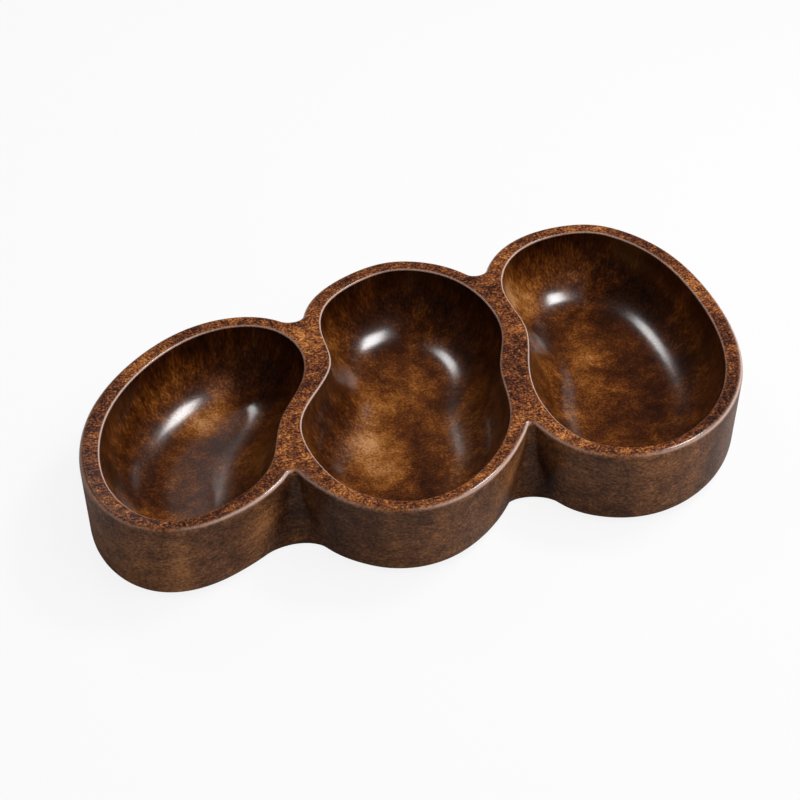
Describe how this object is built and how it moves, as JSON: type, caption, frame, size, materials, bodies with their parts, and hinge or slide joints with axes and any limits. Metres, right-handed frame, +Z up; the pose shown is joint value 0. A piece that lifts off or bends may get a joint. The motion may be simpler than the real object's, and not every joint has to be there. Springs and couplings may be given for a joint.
{
  "type": "divided serving bowl",
  "caption": "Long wooden serving bowl with irregular oval hollows side by side, lobed round each hollow and pinched between them, standing on small round pads.",
  "frame": {"origin": "under the middle of the bowl's length and width, on the plane the pads stand on", "axes": "+X along the length, from the smallest hollow to the largest; +Y to the back, the side away from the picture's viewer; +Z up"},
  "size_m": [0.4238, 0.244, 0.054],
  "materials": {
    "wood": "dark stain under clear gloss lacquer",
    "pads": "matt"
  },
  "bodies": {
    "root": {"bowl_body": "wood", "pad_left_front": "pads", "pad_left_back": "pads", "pad_middle_front": "pads", "pad_middle_back": "pads", "pad_right_front": "pads", "pad_right_back": "pads"}
  },
  "joints": []
}
